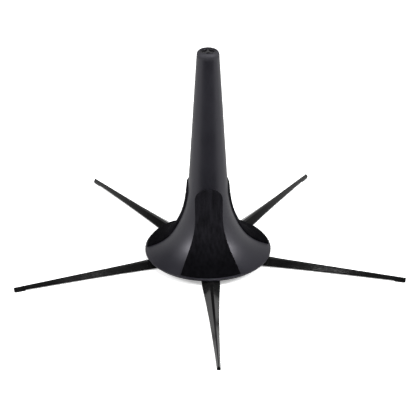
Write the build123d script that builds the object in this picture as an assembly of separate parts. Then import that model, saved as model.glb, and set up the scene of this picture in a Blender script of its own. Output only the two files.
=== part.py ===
from build123d import *
import os

# Trumpet stand that stands inside the bell: a hollow cone pushed onto a ribbed hub, and five folding legs.
# Millimetres, +Z up. The origin is on the stand's axis at the level that the feet rest on.
# The first leg points along -Y, and the others follow anticlockwise seen from above.

# ---- driving dimensions ----
LEG_COUNT = 5
PAD_COUNT = 3
FRONT = -90.0  # azimuth of the first leg and of the first pad, degrees
OVERCUT = 1.0  # how far a cutting shape reaches past what it cuts

TIP_RADIUS = 163.0  # stand axis to the end of a leg
PIVOT_RADIUS = 12.0
PIVOT_HEIGHT = 3.9
LEG_UNDERSIDE = 1.2  # gap under the leg, filled by its foot
LEG_TIP_HEIGHT = 2.8
LEG_HEIGHT_TAPER = 0.0127  # mm of height per mm of length
LEG_EDGE_HEIGHT = 0.9  # upright side below each sloping face
RIDGE_TIP_WIDTH = 0.6
RIDGE_ROOT_WIDTH = 3.0
SHOULDER_RADIUS = 38.0  # the leg narrows to its tongue inside this distance
SHOULDER_LENGTH = 2.0
TONGUE_WIDTH = 6.4
HEEL_LENGTH = 2.7  # tongue inside the pivot
HEEL_CHAMFER = 1.1
TONGUE_EDGE_HEIGHT = 3.2

PIN_DIAMETER = 2.0
PIN_LENGTH = 13.0
PIN_END_CHAMFER = 0.25
PIN_CLEARANCE = 0.1  # on the diameter of the leg's hole

FOOT_LENGTH = 9.5
FOOT_WIDTH = 2.7
FOOT_SETBACK = 0.2  # from the end of the leg
FOOT_OUTER_RISE = 0.35
FOOT_FLAT_END = 2.8  # outer stretch of the sole that rises
FOOT_STUD_DIAMETER = 1.6
FOOT_STUD_HEIGHT = 1.4
FOOT_STUD_SETBACK = 5.0

HUB_BOTTOM = 1.5
HUB_TOP = 27.0
HUB_BOTTOM_CHAMFER = 0.6
HUB_TOP_INSET = 0.8  # of the sloping edge above the highest rib
HUB_CREST_RADIUS = 20.0
HUB_ROOT_RADIUS = 18.1
RIB_COUNT = 6
RIB_PITCH = 3.8
RIB_START = 3.0  # underside of the lowest rib
RIB_LAND = 0.45  # flat at each crest
SLOT_WIDTH = 6.8
POCKET_WIDTH = 11.4
POCKET_INNER = 12.9
POCKET_OUTER = 17.2
POCKET_FLOOR = 8.5
COLUMN_RADIUS = 6.2  # corner radius of the five-sided centre column
STOP_RADIUS = 9.0  # disc that the heels meet when the legs sag
STOP_TOP = 3.4
BOSS_RADIUS = 3.6
BOSS_HEIGHT = 0.35
DIMPLE_RADIUS = 1.7
DIMPLE_DEPTH = 0.3
DIMPLE_PLACE = 15.4

BORE_CLEARANCE = 0.2  # cone bore to hub crest, on the radius
RIM_BOTTOM = 5.9
RIM_TOP = 7.3
RIM_RADIUS = 51.5
CONE_TOP = 180.5
TOP_ROUNDING = 3.0
CROWN_INSET = 2.2  # of the rounding's upper end from its lower end
TAPER_TOP_RADIUS = 8.6  # outside of the straight taper, extended to the cone's top
TAPER_BOTTOM_RADIUS = 15.5
TAPER_BOTTOM = 72.0
WALL = 1.9
COLLAR_WALL = 2.4
COLLAR_BOTTOM = 7.0
COLLAR_TOP = 24.0
COLLAR_LEAD_IN = 0.6
LEDGE_GAP = 0.2
THROAT_RADIUS = 17.0
THROAT_TOP = 37.0
MOUTH_CHAMFER = 0.3  # round the tip plug
SEAT_GAP = 0.4  # below the tip plug
SEAT_SLOPE = 3.6  # height over which the bore widens below the plug's seat

CAP_RADIUS = 6.0
CAP_HEIGHT = 5.6
CAP_RECESS = 0.9
CAP_CHAMFER = 0.3
CAP_POCKET_DEPTH = 3.4
CAP_POCKET_OUTER = 4.9
CAP_POCKET_INNER = 1.5
CAP_SPOKE_WIDTH = 1.5

PAD_THICKNESS = 1.6
PAD_HALF_WIDTH = 10.8
PAD_TOP = 69.0
PAD_WAIST = 45.0  # below this height the pad widens
PAD_FOOT_HALF_WIDTH = 23.8
PAD_FOOT_GAP = 0.6  # above the rim's upper edge
PAD_CURVE_STEPS = 12

# Width of a leg from its tip to its shoulder: (distance from the stand's axis, width)
LEG_PLAN = [
    (TIP_RADIUS, 2.9),
    (147.0, 3.8),
    (125.0, 5.5),
    (100.0, 7.7),
    (75.0, 10.7),
    (51.0, 14.4),
    (SHOULDER_RADIUS, 15.4),
]

# Outside of the flare from the rim to the straight taper: (radius, height)
FLARE = [
    (RIM_RADIUS, RIM_TOP),
    (44.6, 10.2),
    (37.8, 14.1),
    (30.7, 20.4),
    (25.4, 28.2),
    (20.9, 38.0),
    (18.0, 48.6),
    (16.3, 60.0),
    (TAPER_BOTTOM_RADIUS, TAPER_BOTTOM),
]
RIM_TANGENT = (-2.5, 1.0)  # the flare's direction as it leaves the rim

# Inside of the throat above the hub, from its top downwards
THROAT = [
    (14.3, 60.0),
    (15.8, 48.6),
    (THROAT_RADIUS, THROAT_TOP),
]

# Underside of the flare, from the collar out to the rim
UNDERSIDE = [
    (26.2, COLLAR_TOP),
    (30.2, 18.0),
    (36.9, 12.2),
    (43.6, 8.5),
    (49.9, RIM_BOTTOM + 0.3),
]

# Rounded lower edge of the rim, outwards and up
RIM_EDGE = [
    UNDERSIDE[-1],
    (50.3, RIM_BOTTOM),
    (51.1, RIM_BOTTOM),
    (RIM_RADIUS, RIM_BOTTOM + 0.4),
    FLARE[0],
]

LEG_ANGLES = [FRONT + k * 360.0 / LEG_COUNT for k in range(LEG_COUNT)]
PAD_ANGLES = [FRONT + k * 360.0 / PAD_COUNT for k in range(PAD_COUNT)]


def turned(shape, angle):
    """The shape made along +X, turned about the stand's axis."""
    return Rot(0, 0, angle) * shape


def revolved(lines):
    """A solid of revolution about Z from lines that close an outline in the XZ plane."""
    return revolve(make_face(Plane.XZ * lines), axis=Axis.Z)


def prism(points, width):
    """An upright outline in the XZ plane, given thickness evenly to both sides of it."""
    outline = Plane.XZ * make_face(Polyline(*points, close=True))
    return extrude(outline, amount=width / 2, both=True)


# ---- legs ----
def leg_section(radius, width, ridge, edge):
    """Roof-shaped section across a leg at one distance from the stand's axis."""
    low = LEG_UNDERSIDE
    top = leg_top(radius)
    points = [
        (radius, -width / 2, low),
        (radius, -width / 2, low + edge),
        (radius, -ridge / 2, top),
        (radius, ridge / 2, top),
        (radius, width / 2, low + edge),
        (radius, width / 2, low),
    ]
    return Face(Wire.make_polygon([Vector(*p) for p in points], close=True))


def leg_top(radius):
    return LEG_UNDERSIDE + LEG_TIP_HEIGHT + LEG_HEIGHT_TAPER * (TIP_RADIUS - radius)


def ridge_width(radius):
    share = (TIP_RADIUS - radius) / (TIP_RADIUS - SHOULDER_RADIUS)
    return RIDGE_TIP_WIDTH + share * (RIDGE_ROOT_WIDTH - RIDGE_TIP_WIDTH)


def make_leg():
    heel = PIVOT_RADIUS - HEEL_LENGTH
    neck = SHOULDER_RADIUS - SHOULDER_LENGTH
    sections = [leg_section(r, TONGUE_WIDTH, RIDGE_ROOT_WIDTH, TONGUE_EDGE_HEIGHT) for r in (heel, neck)]
    for radius, width in reversed(LEG_PLAN):
        sections.append(leg_section(radius, width, ridge_width(radius), LEG_EDGE_HEIGHT))
    leg = loft(sections, ruled=True)
    root_top = leg_top(heel)
    heel_corner = [
        (heel - OVERCUT, root_top - HEEL_CHAMFER - OVERCUT),
        (heel - OVERCUT, root_top + OVERCUT),
        (heel + HEEL_CHAMFER + OVERCUT, root_top + OVERCUT),
    ]
    cut_width = TONGUE_WIDTH + 2 * OVERCUT
    leg -= prism(heel_corner, cut_width)
    hole = Cylinder((PIN_DIAMETER + PIN_CLEARANCE) / 2, cut_width, rotation=(90, 0, 0))
    leg -= Pos(PIVOT_RADIUS, 0, PIVOT_HEIGHT) * hole
    return leg - foot_stud()


def foot_stud():
    stud = Cylinder(FOOT_STUD_DIAMETER / 2, FOOT_STUD_HEIGHT, align=(Align.CENTER, Align.CENTER, Align.MIN))
    return Pos(TIP_RADIUS - FOOT_STUD_SETBACK, 0, LEG_UNDERSIDE) * stud


def make_foot():
    """Rubber foot under a leg's tip: flat sole, a sloping inner end and a rising outer end."""
    outer = TIP_RADIUS - FOOT_SETBACK
    inner = outer - FOOT_LENGTH
    outline = [
        (inner, LEG_UNDERSIDE),
        (inner + LEG_UNDERSIDE, 0),
        (outer - FOOT_FLAT_END, 0),
        (outer, FOOT_OUTER_RISE),
        (outer, LEG_UNDERSIDE),
    ]
    return prism(outline, FOOT_WIDTH) + foot_stud()


def make_pin():
    pin = Cylinder(PIN_DIAMETER / 2, PIN_LENGTH)
    pin = chamfer(pin.edges(), PIN_END_CHAMFER)
    return Pos(PIVOT_RADIUS, 0, PIVOT_HEIGHT) * Rot(90, 0, 0) * pin


# ---- hub ----
def hub_outline():
    """Half section of the ribbed plug: each barb widens downwards to a sharp lower edge."""
    points = [
        (0, HUB_BOTTOM),
        (HUB_ROOT_RADIUS - HUB_BOTTOM_CHAMFER, HUB_BOTTOM),
        (HUB_ROOT_RADIUS, HUB_BOTTOM + HUB_BOTTOM_CHAMFER),
    ]
    for k in range(RIB_COUNT):
        low = RIB_START + k * RIB_PITCH
        points.append((HUB_ROOT_RADIUS, low))
        points.append((HUB_CREST_RADIUS, low))
        points.append((HUB_CREST_RADIUS, low + RIB_LAND))
    points.append((HUB_ROOT_RADIUS, RIB_START + RIB_COUNT * RIB_PITCH))
    points.append((HUB_ROOT_RADIUS - HUB_TOP_INSET, HUB_TOP))
    points.append((0, HUB_TOP))
    return Polyline(*points, close=True)


def make_hub():
    hub = revolved(hub_outline())
    height = HUB_TOP - HUB_BOTTOM
    reach = HUB_CREST_RADIUS + OVERCUT
    base = (Align.MIN, Align.CENTER, Align.MIN)
    slot = Box(reach, SLOT_WIDTH, height + 2 * OVERCUT, align=base)
    slot = Pos(0, 0, HUB_BOTTOM - OVERCUT) * slot
    pocket_length = POCKET_OUTER - POCKET_INNER
    pocket = Pos(POCKET_INNER, 0, POCKET_FLOOR) * Box(pocket_length, POCKET_WIDTH, height, align=base)
    for angle in LEG_ANGLES:
        hub -= turned(slot + pocket, angle)
    # Column with a flat side towards each slot, and the disc that ties the five sectors to it.
    column = extrude(RegularPolygon(COLUMN_RADIUS, LEG_COUNT), amount=height)
    hub += Pos(0, 0, HUB_BOTTOM) * turned(column, FRONT + 180.0 / LEG_COUNT)
    low = (Align.CENTER, Align.CENTER, Align.MIN)
    hub += Pos(0, 0, HUB_BOTTOM) * Cylinder(STOP_RADIUS, STOP_TOP - HUB_BOTTOM, align=low)
    hub += Pos(0, 0, HUB_TOP) * Cylinder(BOSS_RADIUS, BOSS_HEIGHT, align=low)
    dimple = Cylinder(DIMPLE_RADIUS, 2 * DIMPLE_DEPTH)
    for angle in LEG_ANGLES:
        hub -= turned(pin_seat(), angle)
        between = angle + 180.0 / LEG_COUNT
        hub -= turned(Pos(DIMPLE_PLACE, 0, HUB_TOP) * dimple, between)
        hub -= turned(Pos(DIMPLE_PLACE, 0, HUB_BOTTOM) * dimple, between)
    return hub


def pin_seat():
    """Round seat for a hinge pin, open at the hub's underside so that the pin can be pressed in."""
    seat = Pos(PIVOT_RADIUS, 0, PIVOT_HEIGHT) * Cylinder(PIN_DIAMETER / 2, PIN_LENGTH, rotation=(90, 0, 0))
    depth = PIVOT_HEIGHT - HUB_BOTTOM + OVERCUT
    mouth = Box(PIN_DIAMETER, PIN_LENGTH, depth, align=(Align.CENTER, Align.CENTER, Align.MAX))
    return seat + Pos(PIVOT_RADIUS, 0, PIVOT_HEIGHT) * mouth


# ---- cone ----
def taper_radius(height):
    share = (height - TAPER_BOTTOM) / (CONE_TOP - TAPER_BOTTOM)
    return TAPER_BOTTOM_RADIUS + share * (TAPER_TOP_RADIUS - TAPER_BOTTOM_RADIUS)


def flare_curve():
    slope = TAPER_TOP_RADIUS - TAPER_BOTTOM_RADIUS
    end = (slope, CONE_TOP - TAPER_BOTTOM)
    return Spline(*FLARE, tangents=[RIM_TANGENT, end])


def make_bell_cone():
    shoulder = CONE_TOP - TOP_ROUNDING
    cap_floor = CONE_TOP - CAP_RECESS - CAP_HEIGHT
    seat = cap_floor - SEAT_GAP
    bore = HUB_CREST_RADIUS + BORE_CLEARANCE
    ledge = HUB_TOP + BOSS_HEIGHT + LEDGE_GAP
    collar = bore + COLLAR_WALL
    outer_top = (taper_radius(shoulder), shoulder)
    crown = (outer_top[0] - CROWN_INSET, CONE_TOP)
    taper = Line(FLARE[-1], outer_top)
    rounding = TangentArc(outer_top, crown, tangent=taper % 1)
    inside = [
        rounding @ 1,
        (CAP_RADIUS, CONE_TOP - MOUTH_CHAMFER),
        (CAP_RADIUS, seat),
        (taper_radius(seat - SEAT_SLOPE) - WALL, seat - SEAT_SLOPE),
        (taper_radius(TAPER_BOTTOM) - WALL, TAPER_BOTTOM),
        *THROAT,
        (THROAT_RADIUS, ledge),
        (bore, ledge),
        (bore, COLLAR_BOTTOM + COLLAR_LEAD_IN),
        (bore + COLLAR_LEAD_IN, COLLAR_BOTTOM),
        (collar, COLLAR_BOTTOM),
        (collar, COLLAR_TOP),
        UNDERSIDE[0],
    ]
    outside = flare_curve() + taper + rounding
    return revolved(outside + Polyline(*inside) + Spline(*UNDERSIDE) + Polyline(*RIM_EDGE))


def make_tip_cap():
    """Plug that closes the cone's tip, with open pockets between its spokes."""
    floor = CONE_TOP - CAP_RECESS - CAP_HEIGHT
    low = (Align.CENTER, Align.CENTER, Align.MIN)
    cap = Pos(0, 0, floor) * Cylinder(CAP_RADIUS, CAP_HEIGHT, align=low)
    cap = chamfer(cap.edges().group_by(Axis.Z)[-1], CAP_CHAMFER)
    ring = Cylinder(CAP_POCKET_OUTER, CAP_POCKET_DEPTH, align=low)
    ring -= Cylinder(CAP_POCKET_INNER, CAP_POCKET_DEPTH, align=low)
    outwards = (Align.MIN, Align.CENTER, Align.MIN)
    spoke = Box(CAP_POCKET_OUTER + OVERCUT, CAP_SPOKE_WIDTH, CAP_POCKET_DEPTH, align=outwards)
    for angle in PAD_ANGLES:
        ring -= turned(spoke, angle + 180.0 / PAD_COUNT)
    return cap - Pos(0, 0, CONE_TOP - CAP_RECESS - CAP_POCKET_DEPTH) * ring


# ---- bell pads ----
def shifted_flare(distance):
    """The flare's outside line moved outwards by a distance, along its own normals."""
    curve = flare_curve()
    places = [k / PAD_CURVE_STEPS for k in range(PAD_CURVE_STEPS + 1)]
    points = [curve @ t + (curve % t).rotate(Axis.Z, -90) * distance for t in places]
    return Spline(*points, tangents=[curve % 0, curve % 1])


def make_pad():
    """Soft pad on the flare: round at the top, widening towards the rim. Made facing +X."""
    flare = flare_curve()
    outside = shifted_flare(PAD_THICKNESS)
    outline = flare + outside + Line(flare @ 0, outside @ 0) + Line(flare @ 1, outside @ 1)
    layer = revolved(outline)
    centre = PAD_TOP - PAD_HALF_WIDTH
    side_low = (PAD_FOOT_HALF_WIDTH, RIM_TOP + PAD_FOOT_GAP)
    side_mid = (PAD_HALF_WIDTH, PAD_WAIST)
    side_top = (PAD_HALF_WIDTH, centre)
    right = Line(side_top, side_mid) + TangentArc(side_mid, side_low, tangent=(0, -1))
    left = mirror(right, about=Plane.YZ)
    top = ThreePointArc(side_top, (0, PAD_TOP), (-PAD_HALF_WIDTH, centre))
    base = Line(side_low, (-side_low[0], side_low[1]))
    face = make_face(Plane.YZ * (right + top + left + base))
    return layer & extrude(face, amount=RIM_RADIUS + PAD_THICKNESS + OVERCUT, dir=(1, 0, 0))


os.makedirs("parts", exist_ok=True)
export_step(make_bell_cone(), "parts/bell_cone.step")
export_step(make_tip_cap(), "parts/tip_cap.step")
export_step(make_hub(), "parts/leg_hub.step")
for number, angle in enumerate(PAD_ANGLES, start=1):
    export_step(turned(make_pad(), angle), f"parts/bell_pad_{number}.step")
for number, angle in enumerate(LEG_ANGLES, start=1):
    export_step(turned(make_leg(), angle), f"parts/leg_{number}.step")
    export_step(turned(make_foot(), angle), f"parts/foot_{number}.step")
    export_step(turned(make_pin(), angle), f"parts/hinge_pin_{number}.step")
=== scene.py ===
import math

import bmesh
import bpy
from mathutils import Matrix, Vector
from mathutils.bvhtree import BVHTree


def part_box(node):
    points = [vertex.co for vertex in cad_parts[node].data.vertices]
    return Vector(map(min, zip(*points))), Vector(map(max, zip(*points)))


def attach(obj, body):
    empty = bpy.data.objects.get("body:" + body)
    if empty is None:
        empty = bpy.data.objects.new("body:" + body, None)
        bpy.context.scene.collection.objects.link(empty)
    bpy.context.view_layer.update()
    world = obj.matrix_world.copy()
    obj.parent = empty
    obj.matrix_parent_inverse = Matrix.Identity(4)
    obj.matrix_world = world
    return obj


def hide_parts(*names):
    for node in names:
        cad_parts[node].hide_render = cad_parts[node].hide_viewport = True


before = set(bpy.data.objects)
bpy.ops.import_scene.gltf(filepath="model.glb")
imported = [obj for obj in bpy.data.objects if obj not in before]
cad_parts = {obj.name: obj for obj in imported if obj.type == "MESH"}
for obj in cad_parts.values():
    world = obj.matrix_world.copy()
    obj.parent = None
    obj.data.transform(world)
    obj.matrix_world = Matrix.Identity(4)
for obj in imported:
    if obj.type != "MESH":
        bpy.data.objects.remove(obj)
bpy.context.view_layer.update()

# Trumpet stand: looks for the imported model. Metres, +Z up, in the CAD frame.
MM = 0.001
LEG_NUMBERS = range(1, 6)

# Camera: its direction and distance from the origin, in degrees and metres. It looks at the axis.
CAMERA_AZIMUTH = -2.74
CAMERA_ELEVATION = 30.85
CAMERA_DISTANCE = 1.1207
CAMERA_AIM_HEIGHT = 0.0438
SENSOR_WIDTH = 36.0  # mm
LENS = 117.7  # mm

# Plastic: rounding of its edges, and how the cone's top turns matt.
PLASTIC_EDGE = 0.3 * MM
MATT_DEPTH = 5.5 * MM  # below the cone's top
MATT_FADE = 2.0 * MM
MATT_ROUGHNESS = 0.3  # added to the rest of the surface's

# Velvet pads: angle of each about the axis, outline and thickness.
PAD_ANGLES = {"bell_pad_1": -90.0, "bell_pad_2": 30.0, "bell_pad_3": 150.0}
PAD_UPPER_HALF_WIDTH = 10.8 * MM
PAD_WAIST = 45.0 * MM  # below this height a pad widens
PAD_THICKNESS = 1.6 * MM
PAD_EDGE_ROUNDING = 1.25 * MM
PAD_SWELL = 0.12 * MM
PAD_SWELL_WIDTH = 6.0 * MM  # from the edge to where the swell is full
PAD_BACK_GAP = 0.02 * MM
PAD_TIP_HALF_WIDTH = 0.05 * MM
PAD_ROWS = 96
PAD_COLUMNS = 48
PAD_ROW_CROWDING = 1.35  # above 1 the rows crowd towards the foot as well as the top
SLOPE_STEP = 0.2 * MM  # for the lean of a pad's outline
NORMAL_STEP = 0.3 * MM  # for the flare's normal

# Stage: a large sheet that glows like a light table, so that shadows on it stay faint.
FLOOR_HALF_SIZE = 9.0
FLOOR_DROP = 0.05 * MM  # below the soles, so that the two surfaces never coincide
GLOW_NEAR = 0.38
GLOW_FAR = 1.0
GLOW_START = 0.3  # metres from the axis, where the glow starts to grow
GLOW_END = 1.1

# Light: name, azimuth and elevation in degrees, size in metres and radiance of each panel.
PANELS = (
    ("front_panel", 4.0, 62.0, (0.5, 0.4), 34.0),
    ("left_panel", -62.0, 38.0, (0.55, 0.5), 29.0),
    ("right_panel", 60.0, 40.0, (0.55, 0.5), 38.0),
)
PANEL_DISTANCE = 1.7
PANEL_TARGET = Vector((0, 0, 0.06))

# Surroundings: walls grow with |x| + y of a direction, and fade as its z rises.
WALL_START = 0.05
WALL_FULL = 0.4
WALL_RADIANCE = 0.95
WALL_TOP_START = 0.25
WALL_TOP_END = 0.7
DARK_RADIANCE = 0.015


def direction(azimuth, elevation):
    """Unit vector from the object towards a viewer at azimuth 0 on -Y, turning towards +X."""
    a, e = math.radians(azimuth), math.radians(elevation)
    return Vector((math.sin(a) * math.cos(e), -math.cos(a) * math.cos(e), math.sin(e)))


def aim(thing, place, target):
    """Puts a camera or light at a place, facing the target."""
    thing.location = place
    thing.rotation_mode = "QUATERNION"
    thing.rotation_quaternion = (Vector(target) - Vector(place)).to_track_quat("-Z", "Y")


def make_camera():
    data = bpy.data.cameras.new("camera")
    camera = bpy.data.objects.new("camera", data)
    bpy.context.scene.collection.objects.link(camera)
    data.lens = LENS
    data.sensor_width = SENSOR_WIDTH
    data.clip_start = 0.01
    data.clip_end = 50.0
    place = direction(CAMERA_AZIMUTH, CAMERA_ELEVATION) * CAMERA_DISTANCE
    aim(camera, place, (0, 0, CAMERA_AIM_HEIGHT))
    bpy.context.scene.camera = camera


# ---- materials ----
class Look:
    """A node material being built, with short calls for what every finish here needs."""

    def __init__(self, name, **sockets):
        self.material = bpy.data.materials.new(name)
        self.material.use_nodes = True
        self.tree = self.material.node_tree
        self.surface = self.tree.nodes["Principled BSDF"]
        for socket, value in sockets.items():
            self.surface.inputs[socket.replace("_", " ")].default_value = value
        self.place = self.tree.nodes.new("ShaderNodeTexCoord").outputs["Object"]

    def node(self, kind, settings=None, **inputs):
        made = self.tree.nodes.new(kind)
        for key, value in (settings or {}).items():
            setattr(made, key, value)
        for key, value in inputs.items():
            socket = made.inputs[int(key[1:])] if key[0] == "_" else made.inputs[key]
            if isinstance(value, bpy.types.NodeSocket):
                self.tree.links.new(value, socket)
            else:
                socket.default_value = value
        return made

    def stretched(self, scale, turn=0.0):
        """Object coordinates scaled along each axis after a turn about Z."""
        turned = self.node("ShaderNodeMapping", Vector=self.place, Rotation=(0, 0, math.radians(turn)))
        return self.node("ShaderNodeMapping", Vector=turned.outputs[0], Scale=scale).outputs[0]

    def noise(self, scale, detail=2.0, where=None):
        made = self.node("ShaderNodeTexNoise", Vector=where or self.place, Scale=scale, Detail=detail)
        return made.outputs["Fac"]

    def spread(self, value, low, high, start=0.0, end=1.0):
        """Maps start..end of a value to low..high, held at both ends."""
        made = self.node("ShaderNodeMapRange", Value=value)
        for key, number in (("From Min", start), ("From Max", end), ("To Min", low), ("To Max", high)):
            made.inputs[key].default_value = number
        return made.outputs[0]

    def maths(self, operation, a, b=0.0):
        return self.node("ShaderNodeMath", {"operation": operation}, _0=a, _1=b).outputs[0]

    def blend(self, share, a, b):
        """Colour a where share is 0 and b where it is 1."""
        made = self.node("ShaderNodeMix", {"data_type": "RGBA"}, _0=share, _6=a, _7=b)
        return made.outputs[2]

    def edges(self, radius):
        """1 along sharp edges, 0 on flat stretches."""
        soft = self.rounded(radius)
        flat = self.node("ShaderNodeNewGeometry").outputs["Normal"]
        along = self.node("ShaderNodeVectorMath", {"operation": "DOT_PRODUCT"}, _0=soft, _1=flat)
        return self.spread(self.maths("SUBTRACT", 1.0, along.outputs["Value"]), 0.0, 1.0, 0.02, 0.25)

    def bump(self, height, strength, depth, normal=None):
        """Normal tilted by a height pattern, on top of another normal if one is given."""
        made = self.node("ShaderNodeBump", Height=height, Strength=strength, Distance=depth)
        if normal is not None:
            self.tree.links.new(normal, made.inputs["Normal"])
        return made.outputs[0]

    def rounded(self, radius):
        """Normal with the edges rounded over a radius."""
        return self.node("ShaderNodeBevel", {"samples": 6}, Radius=radius).outputs[0]

    def feed(self, socket, value):
        self.tree.links.new(value, self.surface.inputs[socket])


def grey(value, warm=0.0):
    return (value * (1 + warm), value, value * (1 - warm), 1.0)


def moulded_plastic(name, colour, roughness, matt_above=None):
    """Spark-textured moulding: fine pitted grain, slow gloss changes, polished and paler edges.

    Above the height matt_above the surface turns matt.
    """
    look = Look(name, Specular_IOR_Level=0.5)
    look.surface.inputs["Specular Tint"].default_value = (0.94, 0.92, 1.0, 1.0)
    cloud = look.noise(38.0, 3.0)
    pits = look.noise(2600.0, 2.0)
    worn = look.edges(PLASTIC_EDGE)
    pale = tuple(min(1.0, c * 1.9) for c in colour[:3]) + (1.0,)
    dark = tuple(c * 0.86 for c in colour[:3]) + (1.0,)
    base = look.blend(look.spread(cloud, 0.0, 1.0, 0.35, 0.65), dark, colour)
    broken = look.maths("MULTIPLY", worn, look.spread(look.noise(420.0, 3.0), 0.0, 0.7, 0.42, 0.62))
    look.feed("Base Color", look.blend(broken, base, pale))
    gloss = look.spread(cloud, roughness - 0.05, roughness + 0.06, 0.3, 0.7)
    gloss = look.maths("ADD", gloss, look.spread(pits, -0.04, 0.04, 0.3, 0.7))
    gloss = look.maths("SUBTRACT", gloss, look.maths("MULTIPLY", worn, 0.08))
    if matt_above is not None:
        height = look.node("ShaderNodeSeparateXYZ", _0=look.place).outputs["Z"]
        matt = look.spread(height, 0.0, MATT_ROUGHNESS, matt_above, matt_above + MATT_FADE)
        gloss = look.maths("ADD", gloss, matt)
    look.feed("Roughness", gloss)
    look.feed("Normal", look.bump(pits, 0.35, 0.05 * MM, look.rounded(PLASTIC_EDGE)))
    return look.material


def velvet(name, angle):
    """Short black pile brushed downwards: faint streaks along the pad, with painted shade making it
    darker towards the foot and a painted sheen lightening the pile tips higher up.
    """
    look = Look(name, Roughness=0.95, Specular_IOR_Level=0.008)
    look.surface.inputs["Sheen Weight"].default_value = 0.010
    look.surface.inputs["Sheen Roughness"].default_value = 0.38
    look.surface.inputs["Sheen Tint"].default_value = (0.6, 0.6, 0.68, 1.0)
    nap = look.noise(1.0, 4.0, look.stretched((2400.0, 2400.0, 300.0), angle))
    streaks = look.noise(1.0, 3.0, look.stretched((260.0, 420.0, 38.0), angle))
    tufts = look.noise(3800.0, 2.0)
    height = look.node("ShaderNodeSeparateXYZ", _0=look.place).outputs["Z"]
    # painted shade: the pad is coloured darker towards its foot and lighter higher up, standing in for
    # how light falls on it
    painted_light_by_height = look.spread(height, 0.0, 1.0, 14.0 * MM, 36.0 * MM)
    streaky = look.spread(streaks, 0.35, 1.0, 0.34, 0.66)
    # real streaks in the pile, times the painted shade that darkens the pad towards its foot
    streaks_and_painted_shade = look.maths("MULTIPLY", streaky, look.spread(painted_light_by_height, 0.25, 1.0))
    base = look.blend(streaks_and_painted_shade, (0.0007, 0.0007, 0.0009, 1.0), (0.0070, 0.0067, 0.0084, 1.0))
    # painted sheen: pile tips coloured lighter, only on the upper part of the pad
    painted_sheen_tips = look.maths("MULTIPLY", look.spread(nap, 0.0, 0.5, 0.5, 0.8), painted_light_by_height)
    look.feed("Base Color", look.blend(painted_sheen_tips, base, grey(0.009)))
    relief = look.maths("ADD", look.maths("MULTIPLY", nap, 0.7), look.maths("MULTIPLY", tufts, 0.3))
    look.feed("Normal", look.bump(relief, 0.8, 0.22 * MM))
    return look.material


def lacquer(name):
    """Gloss black paint over metal, with faint orange peel, dust-fine scratches and paler edges."""
    look = Look(name, Specular_IOR_Level=0.28)
    look.surface.inputs["Coat Weight"].default_value = 0.18
    look.surface.inputs["Coat Roughness"].default_value = 0.06
    cloud = look.noise(55.0, 3.0)
    peel = look.noise(900.0, 1.0)
    scratches = look.noise(1.0, 4.0, look.stretched((4000.0, 700.0, 4000.0), 31.0))
    worn = look.edges(0.25 * MM)
    base = look.blend(look.spread(cloud, 0.0, 1.0, 0.3, 0.7), grey(0.0025), grey(0.0045))
    broken = look.maths("MULTIPLY", worn, look.spread(look.noise(700.0, 3.0), 0.0, 0.6, 0.45, 0.7))
    look.feed("Base Color", look.blend(broken, base, grey(0.07)))
    gloss = look.spread(cloud, 0.10, 0.17, 0.3, 0.7)
    look.feed("Roughness", look.maths("ADD", gloss, look.spread(scratches, 0.0, 0.08, 0.55, 0.8)))
    look.feed("Normal", look.bump(peel, 0.10, 0.06 * MM, look.rounded(0.3 * MM)))
    return look.material


def ground_steel(name):
    look = Look(name, Metallic=1.0)
    lines = look.noise(1.0, 3.0, look.stretched((900.0, 900.0, 9000.0)))
    lined = look.spread(lines, 0.0, 1.0, 0.3, 0.7)
    look.feed("Base Color", look.blend(lined, grey(0.5, 0.01), grey(0.68, 0.01)))
    look.feed("Roughness", look.spread(lines, 0.18, 0.34, 0.3, 0.7))
    look.feed("Normal", look.bump(lines, 0.15, 0.03 * MM, look.rounded(0.15 * MM)))
    return look.material


def rubber(name):
    look = Look(name, Specular_IOR_Level=0.35)
    grain = look.noise(1900.0, 3.0)
    dust = look.noise(160.0, 4.0)
    dusty = look.spread(dust, 0.0, 0.8, 0.5, 0.75)
    look.feed("Base Color", look.blend(dusty, grey(0.012), grey(0.035, 0.04)))
    look.feed("Roughness", look.spread(dust, 0.62, 0.85, 0.3, 0.7))
    look.feed("Normal", look.bump(grain, 0.4, 0.08 * MM, look.rounded(0.2 * MM)))
    return look.material


def dress(node, material):
    """Gives a CAD node its finish."""
    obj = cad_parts[node]
    obj.data.materials.clear()
    obj.data.materials.append(material)


# ---- bell pads ----
class Flare:
    """The cone's outside, read from its CAD node by casting rays at its axis."""

    def __init__(self, node):
        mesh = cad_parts[node].data
        points = [v.co for v in mesh.vertices]
        self.tree = BVHTree.FromPolygons(points, [p.vertices for p in mesh.polygons])

    def radius(self, height):
        start = Vector((0.2, 0.0, height))
        hit = self.tree.ray_cast(start, Vector((-1, 0, 0)))[0]
        return hit.x

    def slope(self, height):
        """Outward normal of the outside line, as (radial, upward)."""
        fall = self.radius(height - NORMAL_STEP) - self.radius(height + NORMAL_STEP)
        size = math.hypot(2 * NORMAL_STEP, fall)
        return 2 * NORMAL_STEP / size, fall / size


def pad_half_width(height, top, foot_height, foot_half_width):
    """Half width of the pad's outline at a height: round top, straight sides, curved skirt."""
    centre = top - PAD_UPPER_HALF_WIDTH
    if height >= centre:
        rise = min(height - centre, PAD_UPPER_HALF_WIDTH)
        return math.sqrt(max(0.0, PAD_UPPER_HALF_WIDTH**2 - rise**2))
    if height >= PAD_WAIST:
        return PAD_UPPER_HALF_WIDTH
    # An arc that leaves the straight side without a corner and passes the foot's corner.
    across, down = foot_half_width - PAD_UPPER_HALF_WIDTH, PAD_WAIST - foot_height
    arc = (across**2 + down**2) / (2 * across)
    drop = PAD_WAIST - height
    return PAD_UPPER_HALF_WIDTH + arc - math.sqrt(max(0.0, arc**2 - drop**2))


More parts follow.
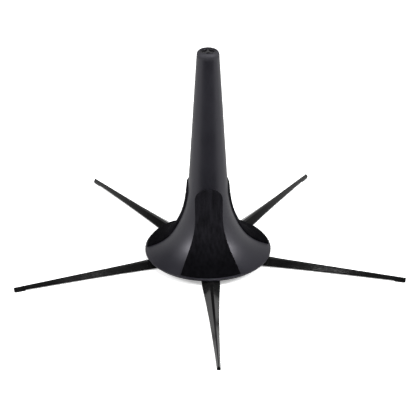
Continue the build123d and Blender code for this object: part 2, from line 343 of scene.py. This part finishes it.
def pad_lift(inset):
    """Height of the pile over the flare, at a distance in from the pad's edge."""
    share = min(1.0, inset / PAD_EDGE_ROUNDING)
    rounded = (PAD_THICKNESS - PAD_SWELL) * math.sqrt(max(0.0, 1 - (1 - share) ** 2))
    swell = PAD_SWELL * math.sin(math.pi / 2 * min(1.0, inset / PAD_SWELL_WIDTH))
    return max(rounded + swell, PAD_BACK_GAP)


def pad_rows(mesh, node, flare):
    """Rows of points from the pad's foot to its top: its front, and its back on the flare."""
    low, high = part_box("bell_pad_1")
    top, foot, foot_half = high.z, low.z, high.x
    turn = math.radians(PAD_ANGLES[node])
    steps = [k / PAD_ROWS for k in range(PAD_ROWS + 1)]
    heights = [foot + (top - foot) * math.sin(math.pi / 2 * t) ** PAD_ROW_CROWDING for t in steps]
    path = [0.0]
    for a, b in zip(heights, heights[1:]):
        path.append(path[-1] + math.hypot(b - a, flare.radius(b) - flare.radius(a)))
    front, back = [], []
    for height, travelled in zip(heights, path):
        half = max(pad_half_width(height, top, foot, foot_half), PAD_TIP_HALF_WIDTH)
        radius = flare.radius(height)
        out, up = flare.slope(height)
        to_top = path[-1] - travelled
        lean = (pad_half_width(height - SLOPE_STEP, top, foot, foot_half) - half) / SLOPE_STEP
        front_row, back_row = [], []
        for k in range(PAD_COLUMNS + 1):
            y = math.sin(math.pi / 2 * (2 * k / PAD_COLUMNS - 1)) * half
            inset = (half - abs(y)) / math.hypot(1.0, max(0.0, lean) * up)
            inset = min(inset, travelled, to_top + PAD_BACK_GAP)
            angle = turn + math.asin(max(-1.0, min(1.0, y / radius)))
            for row, gap in ((front_row, pad_lift(inset)), (back_row, 0.0)):
                r, z = radius + gap * out, height + gap * up
                row.append(mesh.verts.new((r * math.cos(angle), r * math.sin(angle), z)))
        front.append(front_row)
        back.append(back_row)
    return front, back


def boundary(rows):
    """The points round the outside of a grid, in order."""
    right = [row[-1] for row in rows[1:]]
    left = [row[0] for row in rows[-2:0:-1]]
    return rows[0] + right + rows[-1][-2::-1] + left


def make_pad(node, flare):
    """A pad with rounded, slightly crowned pile over the flare, closed at the back."""
    mesh = bmesh.new()
    front, back = pad_rows(mesh, node, flare)
    for rows, flip in ((front, False), (back, True)):
        for a, b in zip(rows, rows[1:]):
            for k in range(PAD_COLUMNS):
                face = (a[k], a[k + 1], b[k + 1], b[k])
                mesh.faces.new(tuple(reversed(face)) if flip else face)
    rim, rim_back = boundary(front), boundary(back)
    for k in range(len(rim)):
        after = (k + 1) % len(rim)
        mesh.faces.new((rim[k], rim_back[k], rim_back[after], rim[after]))
    bmesh.ops.recalc_face_normals(mesh, faces=mesh.faces)
    data = bpy.data.meshes.new(node + "_velvet")
    mesh.to_mesh(data)
    mesh.free()
    for face in data.polygons:
        face.use_smooth = True
    pad = bpy.data.objects.new(node + "_velvet", data)
    bpy.context.scene.collection.objects.link(pad)
    data.materials.append(velvet(node + "_velvet", -PAD_ANGLES[node]))
    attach(pad, "cone")
    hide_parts(node)


# ---- stage ----
def make_floor():
    mesh = bmesh.new()
    bmesh.ops.create_grid(mesh, x_segments=8, y_segments=8, size=FLOOR_HALF_SIZE)
    data = bpy.data.meshes.new("floor")
    mesh.to_mesh(data)
    mesh.free()
    floor = bpy.data.objects.new("floor", data)
    floor.location.z = -FLOOR_DROP
    bpy.context.scene.collection.objects.link(floor)
    look = Look("floor_paper", Specular_IOR_Level=0.2)
    tone = look.noise(3.0, 2.0)
    look.feed("Base Color", look.blend(tone, grey(0.86), grey(0.9)))
    look.feed("Roughness", look.spread(tone, 0.85, 0.95))
    look.surface.inputs["Emission Color"].default_value = grey(1.0)
    away = look.node("ShaderNodeVectorMath", {"operation": "LENGTH"}, _0=look.place).outputs["Value"]
    look.feed("Emission Strength", look.spread(away, GLOW_NEAR, GLOW_FAR, GLOW_START, GLOW_END))
    data.materials.append(look.material)
    floor.visible_glossy = False


def softbox(name, azimuth, elevation, size, radiance):
    """A diffusing panel facing the stand, as bright as `radiance` where it is seen reflected."""
    data = bpy.data.lights.new(name, "AREA")
    data.shape = "RECTANGLE"
    data.size, data.size_y = size
    data.energy = radiance * math.pi * size[0] * size[1]
    light = bpy.data.objects.new(name, data)
    bpy.context.scene.collection.objects.link(light)
    light.visible_camera = False
    aim(light, PANEL_TARGET + direction(azimuth, elevation) * PANEL_DISTANCE, PANEL_TARGET)


def make_surroundings():
    """White walls beside and behind the stand; dark ahead of it and overhead."""
    world = bpy.data.worlds.new("studio")
    world.use_nodes = True
    tree = world.node_tree

    def step(value, start, end, low, high):
        ramp = tree.nodes.new("ShaderNodeMapRange")
        ramp.interpolation_type = "SMOOTHSTEP"
        tree.links.new(value, ramp.inputs["Value"])
        for key, number in (("From Min", start), ("From Max", end), ("To Min", low), ("To Max", high)):
            ramp.inputs[key].default_value = number
        return ramp.outputs[0]

    def maths(operation, a, b=None):
        made = tree.nodes.new("ShaderNodeMath")
        made.operation = operation
        for socket, value in zip(made.inputs, (a, b)):
            if value is not None:
                tree.links.new(value, socket)
        return made.outputs[0]

    place = tree.nodes.new("ShaderNodeTexCoord")
    parts = tree.nodes.new("ShaderNodeSeparateXYZ")
    tree.links.new(place.outputs["Generated"], parts.inputs[0])
    beside = maths("ADD", maths("ABSOLUTE", parts.outputs["X"]), parts.outputs["Y"])
    walls = step(beside, WALL_START, WALL_FULL, 0.0, WALL_RADIANCE)
    below_top = step(parts.outputs["Z"], WALL_TOP_START, WALL_TOP_END, 1.0, 0.0)
    dim = tree.nodes.new("ShaderNodeValue")
    dim.outputs[0].default_value = DARK_RADIANCE
    strength = maths("ADD", maths("MULTIPLY", walls, below_top), dim.outputs[0])
    sky = tree.nodes["Background"]
    sky.inputs["Color"].default_value = (1.0, 1.0, 1.0, 1.0)
    tree.links.new(strength, sky.inputs["Strength"])
    world.cycles.sampling_method = "NONE"
    bpy.context.scene.world = world


def make_light():
    for panel in PANELS:
        softbox(*panel)
    make_surroundings()


# ---- making ----
make_camera()
make_floor()
make_light()
bpy.context.scene.view_settings.view_transform = "Standard"

matt_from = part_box("bell_cone")[1].z - MATT_DEPTH
dress("bell_cone", moulded_plastic("cone_shell", (0.0068, 0.0066, 0.0094, 1.0), 0.42, matt_from))
dress("tip_cap", moulded_plastic("cap_plastic", (0.0070, 0.0069, 0.0082, 1.0), 0.45))
dress("leg_hub", moulded_plastic("hub_plastic", (0.0078, 0.0076, 0.0092, 1.0), 0.38))
leg_finish = lacquer("leg_lacquer")
pin_finish = ground_steel("pin_steel")
foot_finish = rubber("foot_rubber")
for number in LEG_NUMBERS:
    dress(f"leg_{number}", leg_finish)
    dress(f"hinge_pin_{number}", pin_finish)
    dress(f"foot_{number}", foot_finish)

outside = Flare("bell_cone")
for pad_node in PAD_ANGLES:
    make_pad(pad_node, outside)
